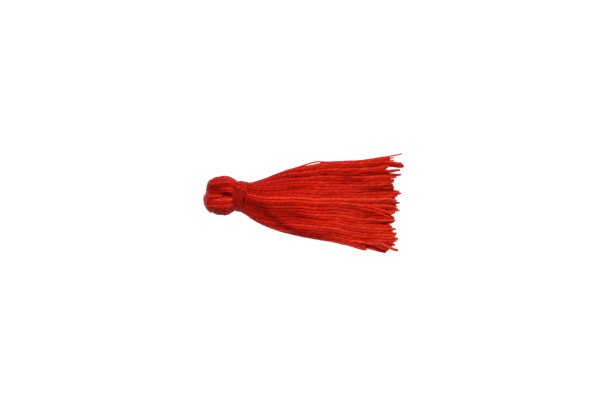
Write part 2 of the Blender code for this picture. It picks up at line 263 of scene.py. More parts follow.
# The skirt's outline seen from above and its height, as it fans out and settles on the surface.
SKIRT_SECTIONS = table(
    "x upper lower top middle power",
    (-10.9, 4.22, -2.60, 6.90, 3.50, 2.0),
    (-10.0, 4.46, -3.32, 6.55, 3.10, 2.0),
    (-7.6, 5.12, -4.76, 5.75, 2.30, 2.1),
    (-5.2, 6.02, -5.78, 5.05, 1.80, 2.3),
    (-2.8, 6.88, -6.38, 4.55, 1.50, 2.5),
    (-0.4, 7.30, -6.92, 4.20, 1.30, 2.7),
    (2.0, 7.76, -7.38, 3.95, 1.15, 2.9),
    (4.4, 8.20, -7.76, 3.75, 1.05, 3.0),
    (6.8, 8.44, -8.16, 3.60, 0.95, 3.1),
    (9.2, 8.48, -8.82, 3.45, 0.90, 3.2),
    (11.6, 8.64, -9.14, 3.30, 0.85, 3.2),
    (14.0, 8.98, -9.46, 3.20, 0.85, 3.2),
    (16.4, 9.40, -9.86, 3.10, 0.80, 3.2),
    (20.2, 10.00, -9.90, 3.00, 0.80, 3.2),
)
LEAST_RISE = 0.05

# A hollow between the threads of the lower edge and the rest: its middle line and half width, how
# deep it sinks them, and the painted shade that darkens them there.
HOLLOW = table(
    "x y half_width depth shade",
    (-11.6, 0.10, 0.75, 0.40, 0.22),
    (-10.2, -0.75, 1.20, 0.80, 0.42),
    (-8.6, -1.70, 1.30, 0.95, 0.50),
    (-6.8, -2.80, 1.10, 0.85, 0.48),
    (-5.0, -4.20, 0.75, 0.65, 0.42),
    (-3.0, -5.35, 0.60, 0.50, 0.42),
    (-0.5, -6.10, 0.70, 0.45, 0.46),
    (2.5, -6.45, 0.70, 0.45, 0.46),
    (5.0, -6.50, 0.55, 0.35, 0.38),
    (8.0, -7.10, 0.50, 0.15, 0.18),
    (10.5, -7.70, 0.40, 0.0, 0.0),
)

# Partings between the skirt's locks: (x, y) where each starts and ends, and whether it closes again
# there. Each sinks its threads and darkens them with painted shade; one that doesn't close grows
# deeper towards its end. The last two rows are painted light instead: a negative shade that
# lightens two locks.
PARTINGS = table(
    "start end half_width depth shade closes",
    ((8.5, 2.45), (17.6, 2.62), 0.46, 0.70, 0.60, False),
    ((3.0, 4.35), (15.5, 4.15), 0.36, 0.30, 0.40, True),
    ((8.5, 5.05), (17.0, 6.35), 0.30, 0.30, 0.36, True),
    ((10.5, -3.85), (17.4, -4.15), 0.36, 0.50, 0.52, False),
    ((10.0, -2.70), (17.2, -2.40), 0.32, 0.35, 0.36, False),
    ((7.5, -5.60), (17.2, -6.80), 0.30, 0.30, 0.42, True),
    ((7.5, -6.90), (17.2, -8.35), 0.30, 0.30, 0.42, True),
    ((9.0, -1.80), (15.0, -1.20), 0.30, 0.20, 0.18, True),
    ((-4.6, 2.70), (1.0, 3.10), 0.30, 0.30, 0.30, True),
    ((1.0, 1.20), (8.5, 1.60), 0.30, 0.30, 0.28, True),
    ((4.5, 5.00), (11.5, 5.50), 0.30, 0.25, 0.24, True),
    ((-8.5, -1.55), (4.5, -3.10), 0.45, 0.50, 0.62, True),
    ((-7.5, -2.60), (4.0, -4.30), 0.32, 0.30, 0.34, True),
    ((-4.0, -3.00), (7.0, -3.90), 0.28, 0.25, 0.20, True),
    ((6.0, -6.10), (17.6, -6.90), 1.20, 0.0, -0.14, False),
    ((9.0, 5.80), (17.6, 6.20), 1.00, 0.0, -0.08, False),
)
PARTING_CLOSING = 2.0
PARTING_GROWTH = 1.5
PARTING_OVERRUN = 1.0

# How far the threads reach, (y, x), by where they lie across the fan.
CUT_LINE = [
    (-9.90, 17.0), (-9.25, 16.6), (-8.80, 17.8), (-8.00, 17.9), (-6.60, 18.1), (-5.60, 17.6),
    (-4.20, 17.4), (-2.40, 17.8), (-1.00, 17.8), (0.30, 17.5), (0.70, 17.3), (1.10, 17.65),
    (2.60, 17.65), (3.80, 17.6), (4.85, 17.7), (5.95, 17.1), (6.10, 16.4), (6.80, 16.4),
    (6.95, 17.3), (8.30, 17.2), (9.50, 17.1),
]
REACH_SPREAD = 0.08

# The ends that stand out from it, (y, x), and how far one of them bends towards the upper edge from
# its thread's own place.
LONG_ENDS = [
    (-9.86, 16.56), (-9.62, 17.24), (-9.34, 17.05), (-9.52, 18.98), (-8.52, 18.34), (-7.62, 18.60),
    (-7.20, 18.98), (-6.50, 18.40), (-6.16, 18.66), (-5.24, 18.42), (-4.80, 17.88), (-3.88, 17.92),
    (-3.52, 18.60), (-2.98, 18.20), (-1.98, 18.48), (-1.48, 19.20), (-0.70, 18.84), (0.00, 19.20),
    (0.98, 18.34), (1.38, 18.84), (1.84, 19.48), (2.34, 18.56), (3.06, 18.16), (3.66, 17.90),
    (4.20, 17.98), (4.60, 18.20), (5.20, 18.98), (5.64, 19.56), (6.56, 19.30), (7.28, 20.12),
    (7.50, 20.00), (7.68, 19.76), (7.88, 19.50),
]
RISEN_ENDS = {6.56: 0.45}

# Each goes to a thread that lies near it and on top at END_STATION, and that isn't taken yet. Up to
# TEETH_UPPER_END the threads beside a long end form a tooth with it.
END_STATION = -3
LEAST_DOME = 0.1
DEPTH_COST = 0.8
TAKEN = 10.0
HIDDEN_END_LOSS = 1.1
TEETH_UPPER_END = 3.2
TOOTH_SLOPE = 2.2
TOOTH_DROP = 0.15
END_BEND = 4.0
END_TAPER = 0.15
LONG_END_TAPER = 0.42
LOCK_START = 6.7
TAPERED_LENGTH = 1.8
# The short lock at the lower edge: its tone is painted light that lightens its threads.
SHORT_LOCK = dict(y_below=-8.35, z_above=1.10, reach=12.9, unevenness=0.8, splay=0.45, tone=0.14)

# The skirt's threads lie side by side in layers, one under the other, from floor to floor over the
# top, and one layer lies on the surface. At the neck each layer is part of a circle.
LAYERS = [
    dict(threads=36, inset=0.335, neck_angle=130),
    dict(threads=31, inset=0.80, neck_angle=135),
    dict(threads=22, inset=1.38, neck_angle=140),
    dict(threads=12, inset=2.00, neck_angle=150),
]
FLOOR_THREADS = 36
FLOOR_ROWS = (0.335, 0.62, 0.91)
FLOOR_NECK_INSETS = (0.335, 0.90, 1.48)
FLOOR_NECK_ANGLE = 50
UNROLLED_LENGTH = 6.0
# NECK_TONE is painted shade that darkens the skirt's threads near the neck, fading out over
# NECK_TONE_LENGTH.
NECK_TONE = -0.25
NECK_TONE_LENGTH = 17.0
THREAD_RADII = [(-12.0, 0.24), (-10.5, 0.27), (-7.0, THREAD_RADIUS)]
SKIRT_TONE_SPREAD = 0.145

# Some threads of the top layer are hidden at the neck and rise between the others further on.
LATE_THREADS = (10, 14, 18, 22, 26, 29)
LATE_RANGE = (-5.0, 9.0)
LATE_SHARE = 0.30
LATE_SINK = 0.36
LATE_RISE = 5.0
CROWDING = 0.11
CROWDING_WAVES = (0.7, 1.6)

# Past the neck the threads wander a little, strays more, and those at the edges less.
SETTLED_START = -9.0
SETTLED_LENGTH = 8.0
SIDE_WAVES = (2.3, 5.1, 9.7)
SIDE_WANDER = 0.09
RISE_WAVES = (1.6, 3.4, 6.1)
RISE_WANDER = 0.12
STRAYS = 0.15
STRAY_WANDER = 0.26
STRAY_RISE = 0.10
EDGE_START = 0.80
EDGE_WIDTH = 0.10
EDGE_STILLNESS = 0.85

SKIRT_PIECES = ("skirt_lower_edge", "skirt_lower_half", "skirt_upper_half", "skirt_upper_edge")
SEED = 7
STATIONS = 16
STATION_POWER = 1.2
CURVE_POINTS = 160
NECK_ENTRY = [
    dict(x=0.30, share=0.74),
    dict(x=1.10, share=0.91),
]

# A ply that has come away along the skirt's upper edge, frayed plies at its upper corner, two
# threads that cross the others near the cut ends, each with its tone, and a curled fibre. All are
# given as (x, y, z).
LOOSE_PLY = [
    (-4.42, 5.98, 2.4), (-3.22, 6.45, 2.2), (-2.02, 6.88, 2.0), (-0.82, 7.24, 1.8),
    (0.10, 7.54, 1.7), (1.00, 7.84, 1.6), (1.90, 8.08, 1.6), (2.70, 8.20, 1.6),
    (3.40, 8.18, 1.6), (4.40, 8.14, 1.6), (6.00, 8.16, 1.6), (7.60, 8.10, 1.7),
]
FRAYED_PLIES = [
    [
        (15.4, 8.85, 1.2), (16.38, 9.10, 1.3), (17.28, 9.34, 1.4), (18.38, 9.52, 1.4),
        (19.74, 9.84, 1.3),
    ],
    [(15.6, 8.60, 1.5), (16.4, 8.78, 1.5), (17.18, 8.90, 1.5), (18.08, 9.02, 1.4)],
    [(15.6, 8.20, 1.6), (16.4, 8.34, 1.6), (17.18, 8.38, 1.6), (18.08, 8.48, 1.5)],
]
CROSSING_THREADS = [
    (
        [
            (9.6, -0.30, 2.70), (11.2, -0.62, 3.05), (12.8, -0.78, 3.22), (14.1, -1.16, 3.26),
            (15.0, -1.36, 3.22), (15.9, -1.60, 3.16), (16.8, -1.98, 3.05), (17.5, -2.32, 2.90),
        ],
        0.10,
    ),
    (
        [
            (8.4, -0.95, 2.75), (10.2, -1.10, 3.00), (12.0, -1.28, 3.14), (13.6, -1.62, 3.18),
            (14.9, -2.02, 3.12), (16.0, -2.46, 3.02), (17.0, -2.90, 2.85),
        ],
        0.02,
    ),
]
CROSSING_RADIUS = 0.29
CURLED_FIBRE = [
    (-3.52, 6.24, 3.0), (-3.12, 6.02, 3.7), (-2.86, 5.48, 4.1), (-2.96, 4.82, 4.3),
    (-3.26, 4.32, 4.3),
]
PLY_RADIUS = 0.17
FIBRE_RADIUS = 0.035
FIBRE_SIDES = 4
FIBRE_TONE = 0.6

# The silk: its colours from the shade to the light, and how its fibres and patches vary it.
RED_SILK = dict(
    dark=(0.28, 0.002, 0.001),
    middle=(0.60, 0.010, 0.004),
    light=(0.85, 0.036, 0.013),
    roughness=0.42,
)
WOUND_SILK = dict(
    dark=(0.22, 0.002, 0.002),
    middle=(0.40, 0.005, 0.004),
    light=(0.60, 0.012, 0.008),
    roughness=0.50,
)
SILK_SOCKETS = {
    "Specular IOR Level": 0.12,
    "Specular Tint": (1.0, 0.32, 0.14, 1.0),
    "Subsurface Weight": 0.5,
    "Subsurface Radius": (1.0, 0.15, 0.08),
    "Subsurface Scale": 0.4 * MM,
    "Sheen Weight": 0.05,
    "Sheen Roughness": 0.4,
    "Sheen Tint": (1.0, 0.14, 0.05, 1.0),
}
DARK_PLACE = 0.1
MIDDLE_PLACE = 0.55
LIGHT_PLACE = 0.95
FIBRE_STRETCH = (34.0, 34.0, 0.9)
FIBRE_DETAIL = 2.0
FIBRE_SHARE = 0.38
PATCH_SCALE = 0.9
PATCH_DETAIL = 1.0
PATCH_SHARE = 0.28
BASE_TONE = 0.24
BUMP_STRENGTH = 0.7
BUMP_HEIGHT = 0.02 * MM
ROUGHNESS_BELOW = 0.10
ROUGHNESS_ABOVE = 0.12

# The studio, in metres and watts.
WHITE = (1.0, 1.0, 1.0, 1.0)
SURFACE_SOCKETS = {
    "Base Color": (0.30, 0.30, 0.30, 1.0),
    "Roughness": 1.0,
    "Specular IOR Level": 0.0,
    "Emission Color": WHITE,
    "Emission Strength": 1.0,
}
SURFACE_SIZE = 3.0
SKY_STRENGTH = 0.48
KEY_LIGHT = dict(place=(0.24, 0.24, 0.50), size=0.20, power=3.35)
CLIP_START = 0.01
CLIP_END = 20.0

low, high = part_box("neck_binding")
SHIFT = np.array([(low[0] + high[0]) / 2 / MM - NECK_X, (low[1] + high[1]) / 2 / MM - NECK_Y, 0.0])


def eased(value):
    """A smooth step from 0 to 1."""
    value = np.clip(value, 0, 1)
    return value * value * (3 - 2 * value)


def unit(vectors):
    return vectors / np.maximum(np.linalg.norm(vectors, axis=-1, keepdims=True), 1e-12)


def leaned(x, y):
    """A point along and across the neck's axis, turned by the lean, which fades out in the head."""
    angle = NECK_LEAN * eased(1 + (x + LEAN_START) / LEAN_FADE)
    turned_x = x * np.cos(angle) + y * np.sin(angle)
    turned_y = y * np.cos(angle) - x * np.sin(angle)
    return NECK_X + turned_x, NECK_Y + turned_y


# Lines


def smooth_line(points, step):
    """A smooth curve through the points, sampled about every step."""
    points = np.asarray(points, float)
    gaps = np.linalg.norm(np.diff(points, axis=0), axis=1)
    along = np.concatenate([[0], np.cumsum(gaps)])
    slope = np.empty_like(points)
    slope[1:-1] = (points[2:] - points[:-2]) / (along[2:] - along[:-2])[:, None]
    slope[0] = (points[1] - points[0]) / gaps[0]
    slope[-1] = (points[-1] - points[-2]) / gaps[-1]
    count = max(int(round(along[-1] / step)), 4)
    place = np.linspace(0, along[-1], count + 1)
    k = np.clip(np.searchsorted(along, place, side="right") - 1, 0, len(gaps) - 1)
    width = gaps[k][:, None]
    t = ((place - along[k]) / gaps[k])[:, None]
    start = (2 * t**3 - 3 * t**2 + 1) * points[k] + (t**3 - 2 * t**2 + t) * width * slope[k]
    end = (3 * t**2 - 2 * t**3) * points[k + 1] + (t**3 - t**2) * width * slope[k + 1]
    return start + end


def arc_length(line):
    return np.concatenate([[0], np.cumsum(np.linalg.norm(np.diff(line, axis=0), axis=1))])


def slow_noise(random, length, waves, size):
    """A gentle wander along a line of this many samples."""
    share = np.linspace(0, 1, length)
    total = np.zeros(length)
    for wave in waves:
        total += np.sin(2 * math.pi * wave * share + random.uniform(0, 2 * math.pi)) / len(waves)
    return size * total


# Threads


def carried_frame(line):
    """Two directions square to the line at each sample, carried along it without turning."""
    ahead = unit(np.gradient(line, axis=0))
    side = np.empty_like(line)
    side[0] = unit(np.cross(ahead[0], ANY_DIRECTION))
    for k in range(1, len(line)):
        side[k] = side[k - 1] - (side[k - 1] @ ahead[k]) * ahead[k]
        side[k] /= np.linalg.norm(side[k])
    return side, np.cross(ahead, side)


def wall_map(share, sides, number, strips):
    """Map coordinates for the faces of a tube's wall: the strip of this number."""
    u = STRIP_START + (1 - 2 * STRIP_START) * share
    v = (number + STRIP_MARGIN + (1 - 2 * STRIP_MARGIN) * np.arange(sides + 1) / sides) / strips
    wall = np.empty((len(share) - 1, sides, 4, 2))
    wall[..., 0] = np.stack([u[:-1], u[:-1], u[1:], u[1:]], axis=1)[:, None]
    wall[..., 1] = np.stack([v[:-1], v[1:], v[1:], v[:-1]], axis=1)[None]
    return wall.reshape(-1, 2)


def cap_map(place, sides, number, strips):
    """Map coordinates for the face at one end of a tube."""
    angle = np.arange(sides) * 2 * math.pi / sides
    u = place + CAP_HALF_LENGTH * np.cos(angle)
    v = (number + 0.5 + CAP_HALF_WIDTH * np.sin(angle)) / strips
    return np.stack([u, v], axis=1)


def new_mesh(name, points, corners, sizes, uv):
    """A smooth mesh of these faces: their corners one after another, and how many each face has."""
    starts = np.concatenate([[0], np.cumsum(sizes)[:-1]])
    mesh = bpy.data.meshes.new(name)
    mesh.vertices.add(len(points))
    mesh.vertices.foreach_set("co", (points * MM).astype(np.float32).ravel())
    mesh.loops.add(len(corners))
    mesh.loops.foreach_set("vertex_index", corners.astype(np.int32))
    mesh.polygons.add(len(sizes))
    mesh.polygons.foreach_set("loop_start", starts.astype(np.int32))
    mesh.polygons.foreach_set("loop_total", sizes.astype(np.int32))
    mesh.polygons.foreach_set("use_smooth", np.ones(len(sizes), bool))
    layer = mesh.uv_layers.new(name="OFBake")
    layer.data.foreach_set("uv", uv.astype(np.float32).ravel())
    return mesh


class Yarn:
    """Collects the tubes of one piece, then makes its mesh."""

    def __init__(self):
        self.tubes = []

    def tube(self, centre, facing, radius, lay, tone, groove_shade=0.0, sides=PLY_SIDES, breadth=1.0):
        """One ply or fibre: its centre line, where its first corner faces, and its radius.

        The lay turns its fibres round it, and the tone is its lightness: its own, with any painted
        shade and painted light. The groove_shade is painted shade that darkens the side that lies
        against the other ply.
        """
        count = len(centre)
        ahead = unit(np.gradient(centre, axis=0))
        facing = unit(facing - (facing * ahead).sum(axis=1, keepdims=True) * ahead)
        across = np.cross(ahead, facing)
        angle = np.arange(sides) * 2 * math.pi / sides
        radius = np.broadcast_to(radius, count)
        ring = facing[:, None] * np.cos(angle)[:, None]
        ring = ring + across[:, None] * np.sin(angle)[:, None] * breadth
        points = centre[:, None] + ring * radius[:, None, None]
        along = arc_length(centre)
        lay = np.broadcast_to(lay, count)
        turned = angle[None] + lay[:, None]
        fibre = np.stack(
            [
                radius[:, None] * np.cos(turned),
                radius[:, None] * np.sin(turned),
                np.broadcast_to(along[:, None], turned.shape) + FIBRE_OFFSET * len(self.tubes),
            ],
            axis=2,
        )
        # Painted shade on the side of each ply that faces the other ply.
        groove_shade = np.broadcast_to(groove_shade, count)[:, None]
        tone = np.broadcast_to(tone, count)[:, None] - groove_shade * (1 - np.cos(angle)[None])
        self.tubes.append((points, fibre, np.broadcast_to(tone, turned.shape), along))

    def thread(self, line, radius, random, tone, relief, fray=0.0, twist=TWIST_LENGTH):
        """A two-ply thread along a line, whose plies part at its end where it is frayed."""
        along = arc_length(line)
        side, up = carried_frame(line)
        radius = np.broadcast_to(radius, len(line))
        to_end = along[-1] - along
        opening = np.clip(1 - to_end / FRAY_LENGTH, 0, 1) ** FRAY_POWER * fray
        loosened = np.clip(FRAY_LENGTH - to_end, 0, None) ** 2 / FRAY_LENGTH
        turn = along - FRAY_UNTWIST * fray * loosened
        turn = turn + slow_noise(random, len(line), TWIST_WAVES, TWIST_UNEVENNESS)
        turned = -2 * math.pi * np.cumsum(np.gradient(turn) / twist)
        # Painted shade between the plies, stronger where they stand off further.
        groove_shade = np.broadcast_to(GROOVE_SHADE * np.clip(relief - GROOVE_START, 0, None), len(line))
        phase = random.uniform(0, 2 * math.pi)
        for ply in range(2):
            angle = turned + phase + ply * math.pi
            outward = side * np.cos(angle)[:, None] + up * np.sin(angle)[:, None]
            away = radius * relief * (1 + FRAY_SPREAD * opening)
            centre = line + outward * away[:, None]
            thickness = radius * (1 - relief) * (1 - FRAY_THINNING * opening)
            thickness = thickness * (1 + slow_noise(random, len(line), PLY_WAVES, PLY_UNEVENNESS))
            centre[:, 2] = np.maximum(centre[:, 2], thickness * PLY_BREADTH * FLOOR_CLEARANCE)
            end = len(line)
            if fray > 0:
                end -= int(random.integers(0, PLY_END_SAMPLES))
            thickness[end - 1] *= PLY_END_SHARE
            own_tone = tone + random.normal(0, PLY_TONE_SPREAD)
            own_tone = own_tone + slow_noise(random, len(line), TONE_WAVES, TONE_WANDER)
            lay = -FIBRE_LAY * turned + random.uniform(0, LAY_RANGE)
            self.tube(
                centre[:end], outward[:end], thickness[:end], lay[:end], own_tone[:end],
                groove_shade=groove_shade[:end], breadth=PLY_BREADTH,
            )

    def strand(self, points, radius, tone=0.0, sides=PLY_SIDES):
        """A single ply or fibre through the points, thinner at its tip."""
        line = smooth_line(points, STRAND_STEP)
        thickness = np.full(len(line), radius)
        thickness[-len(STRAND_TIP) :] *= STRAND_TIP
        facing = np.broadcast_to(STRAND_FACING, line.shape)
        self.tube(line, facing, thickness, arc_length(line) * STRAND_LAY, tone, sides=sides)

    def piece(self, name, material):
        """The object made of all the tubes, each unwrapped as its own strip."""
        points, fibres, tones, corners, sizes, maps = [], [], [], [], [], []
        first = 0
        strips = len(self.tubes)
        for number, (ring_points, fibre, tone, along) in enumerate(self.tubes):
            count, sides = ring_points.shape[:2]
            points.append(ring_points.reshape(-1, 3))
            fibres.append(fibre.reshape(-1, 3))
            tones.append(tone.reshape(-1))
            index = first + np.arange(count * sides).reshape(count, sides)
            after = np.roll(index, -1, axis=1)
            quads = np.stack([index[:-1], after[:-1], after[1:], index[1:]], axis=2)
            corners += [quads.reshape(-1), index[0][::-1], index[-1]]
            sizes += [np.full((count - 1) * sides, 4), np.array([sides, sides])]
            maps.append(wall_map(along / along[-1], sides, number, strips))
            maps += [cap_map(place, sides, number, strips) for place in (CAP_PLACE, 1 - CAP_PLACE)]
            first += count * sides
        mesh = new_mesh(
            name, np.concatenate(points) + SHIFT, np.concatenate(corners), np.concatenate(sizes),
            np.concatenate(maps),
        )
        attribute = mesh.attributes.new("fibre", "FLOAT_VECTOR", "POINT")
        attribute.data.foreach_set("vector", np.concatenate(fibres).astype(np.float32).ravel())
        # The tone holds each ply's own tone together with the painted shade and painted light.
        attribute = mesh.attributes.new("tone", "FLOAT", "POINT")
        attribute.data.foreach_set("value", np.concatenate(tones).astype(np.float32))
        mesh.update(calc_edges=True)
        mesh.validate()
        mesh.materials.append(material)
        piece = bpy.data.objects.new(name, mesh)
        bpy.context.scene.collection.objects.link(piece)
        return piece


# The skirt


def evened(curve, share):
    """Points at these shares of a curve's length."""
    along = arc_length(curve)
    return np.stack([np.interp(share * along[-1], along, curve[:, k]) for k in range(2)], axis=1)


def section_at(x):
    """The skirt's sizes at x, read off its table."""
    rows_x = column(SKIRT_SECTIONS, "x")
    names = ("upper", "lower", "top", "middle", "power")
    return (np.interp(x, rows_x, column(SKIRT_SECTIONS, name)) for name in names)


def skirt_curve(x, inset):
    """(y, z) across the skirt at x, from the floor at one edge over the top to the other."""
    upper, lower, top, middle, power = section_at(x)
    turn = np.linspace(0, math.pi, CURVE_POINTS)
    half = (upper - lower) / 2 - inset
    rise = max(top - inset - middle, LEAST_RISE)
    y = (upper + lower) / 2 - half * np.sign(np.cos(turn)) * np.abs(np.cos(turn)) ** (2 / power)
    z = middle + rise * np.abs(np.sin(turn)) ** (2 / power)
    first_foot, last_foot = (y[0], THREAD_RADIUS), (y[-1], THREAD_RADIUS)
    return np.vstack([first_foot, np.stack([y, z], axis=1), last_foot])


def round_curve(x, inset, angle):
    """(y, z) round the skirt at x near the neck, where it is still a round bundle."""
    upper, lower, top, _, _ = section_at(x)
    turn = np.radians(angle)
    y = (upper + lower) / 2 + ((upper - lower) / 2 - inset) * np.sin(turn)
    return np.stack([y, top / 2 + (top / 2 - inset) * np.cos(turn)], axis=1)


def in_hollow(x, y, name):
    """How deep the hollow and the partings are at a point seen from above, or their painted shade
    there.
    """
    rows_x = column(HOLLOW, "x")
    middle = np.interp(x, rows_x, column(HOLLOW, "y"))
    half_width = np.interp(x, rows_x, column(HOLLOW, "half_width"))
    total = np.interp(x, rows_x, column(HOLLOW, name)) * np.exp(-(((y - middle) / half_width) ** 2))
    for parting in PARTINGS:
        (start_x, start_y), (end_x, end_y) = parting["start"], parting["end"]
        share = np.clip((x - start_x) / (end_x - start_x), 0, 1)
        middle = start_y + (end_y - start_y) * share
        if parting["closes"]:
            open_share = eased(share * PARTING_CLOSING) * eased((1 - share) * PARTING_CLOSING)
        else:
            open_share = eased(share * PARTING_GROWTH)
        within = np.exp(-(((y - middle) / parting["half_width"]) ** 2))
        within = within * (x < end_x + PARTING_OVERRUN)
        total = total + parting[name] * open_share * within
    return total


def layer_paths(layer, late, x, random):
    """(y, z) at each station for the threads of one layer."""
    count = layer["threads"]
    widths = np.ones((len(x), count))
    sink = np.zeros((len(x), count))
    for thread in late:
        risen = eased((x - random.uniform(*LATE_RANGE)) / LATE_RISE)
        widths[:, thread] = LATE_SHARE + (1 - LATE_SHARE) * risen
        sink[:, thread] = LATE_SINK * (1 - risen)
    for thread in range(count):
        widths[:, thread] *= 1 + slow_noise(random, len(x), CROWDING_WAVES, CROWDING)
    paths = np.empty((len(x), count, 2))
    angles = np.linspace(-layer["neck_angle"], layer["neck_angle"], CURVE_POINTS)
    for k in range(len(x)):
        total = np.cumsum(widths[k])
        share = (total - widths[k] / 2) / total[-1]
        unrolled = eased((x[k] - x[0]) / UNROLLED_LENGTH)
        over = evened(skirt_curve(x[k], layer["inset"]), share)
        around = evened(round_curve(x[k], layer["inset"], angles), share)
        paths[k] = over * unrolled + around * (1 - unrolled)
        paths[k, :, 1] -= sink[k] + in_hollow(x[k], paths[k, :, 0], "depth")
    return paths


def floor_paths(x):
    """(y, z) at each station for the threads that lie on the surface."""
    share = (np.arange(FLOOR_THREADS) + 0.5) / FLOOR_THREADS
    angle = 180 - (2 * share - 1) * FLOOR_NECK_ANGLE
    paths = np.empty((len(x), FLOOR_THREADS, 2))
    for k in range(len(x)):
        upper, lower = list(section_at(x[k]))[:2]
        unrolled = eased((x[k] - x[0]) / UNROLLED_LENGTH)
        y = lower + 2 * THREAD_RADIUS + (upper - lower - 4 * THREAD_RADIUS) * share
        for thread in range(FLOOR_THREADS):
            height = FLOOR_ROWS[thread % len(FLOOR_ROWS)]
            inset = FLOOR_NECK_INSETS[thread % len(FLOOR_NECK_INSETS)]
            around = round_curve(x[k], inset, angle[thread : thread + 1])[0]
            paths[k, thread] = np.array([y[thread], height]) * unrolled + around * (1 - unrolled)
    return paths


def skirt_paths():
    """x of each station for each thread, and the threads' (y, z) there, in millimetres."""
    random = np.random.default_rng(SEED)
    root_x, root_y = leaned(ROOT_X, 0.0)
    share = np.linspace(0, 1, STATIONS)
    station_x = root_x + (SKIRT_SECTIONS[-1]["x"] - root_x) * share**STATION_POWER
    groups = [
        layer_paths(layer, LATE_THREADS if layer is LAYERS[0] else (), station_x, random)
        for layer in LAYERS
    ]
    points = np.concatenate(groups + [floor_paths(station_x)], axis=1)
    fading = 1 - eased((station_x - root_x) / UNROLLED_LENGTH)
    lean = math.sin(NECK_LEAN) * (points[0, :, 0] - root_y) * fading[:, None]
    return station_x[:, None] + lean, points


def cut_ends(points, random):
    """Where each long end lies, for the thread on top that gets it, how far every thread reaches,
    which threads are in the short lock, and how much each one tapers.
    """
    y, z = points[END_STATION, :, 0], points[END_STATION, :, 1]
    count = len(y)
    end_y = np.full(count, np.nan)
    end_section = SKIRT_SECTIONS[-1]
    dome = np.sqrt(np.clip(1 - (y / end_section["upper"]) ** 2, LEAST_DOME, 1))
    depth = np.clip(1 - z / (end_section["top"] * dome), 0, 1)
    cut_y, cut_x = np.transpose(CUT_LINE)
    reach = np.interp(y, cut_y, cut_x) - HIDDEN_END_LOSS * depth * random.random(count)
    reach = reach + random.normal(0, REACH_SPREAD, count)
    for tooth_y, tooth_x in LONG_ENDS:
        if tooth_y < TEETH_UPPER_END:
            flank = tooth_x - TOOTH_DROP - TOOTH_SLOPE * np.abs(y - tooth_y)
            reach = np.maximum(reach, flank)
    short = (y < SHORT_LOCK["y_below"]) & (z > SHORT_LOCK["z_above"])
    free = ~short
    taper = np.full(count, END_TAPER)
    for long_y, long_x in LONG_ENDS:
        own_y = long_y - RISEN_ENDS.get(long_y, 0.0)
        cost = np.abs(y - own_y) + DEPTH_COST * depth + TAKEN * ~free
        chosen = int(np.argmin(cost))
        free[chosen] = False
        end_y[chosen] = long_y
        reach[chosen] = long_x
        taper[chosen] = LONG_END_TAPER if abs(long_y) < LOCK_START else END_TAPER
    reach[short] = SHORT_LOCK["reach"] - SHORT_LOCK["unevenness"] * random.random(short.sum())
    return end_y, reach, short, taper


def skirt_line(x, points, reach, step):
    """The line of one skirt thread, from under the binding to where it is cut."""
    y, z = points.T
    across = (y[0] - leaned(ROOT_X, 0.0)[1]) / math.cos(NECK_LEAN)
    inner = []
    for row in NECK_ENTRY:
        inner_x, inner_y = leaned(row["x"], across * row["share"])
        inner.append([inner_x, inner_y, AXIS_HEIGHT + (z[0] - AXIS_HEIGHT) * row["share"]])
    line = smooth_line(np.vstack([inner, np.stack([x, y, z], axis=1)]), step)
    return line[line[:, 0] <= reach]


def wander(line, random):
    """Moves a skirt thread's line a little out of its row."""
    settled = eased((line[:, 0] - SETTLED_START) / SETTLED_LENGTH)
    stray = random.random() < STRAYS
    upper, lower = list(section_at(line[:, 0]))[:2]
    offset = np.abs(2 * line[:, 1] - upper - lower) / (upper - lower)
    inside = 1 - EDGE_STILLNESS * eased((offset - EDGE_START) / EDGE_WIDTH)
    sideways = slow_noise(random, len(line), SIDE_WAVES, STRAY_WANDER if stray else SIDE_WANDER)
    line[:, 1] += settled * inside * sideways
    line[:, 2] += settled * slow_noise(random, len(line), RISE_WAVES, RISE_WANDER)
    line[:, 2] += settled * STRAY_RISE * stray


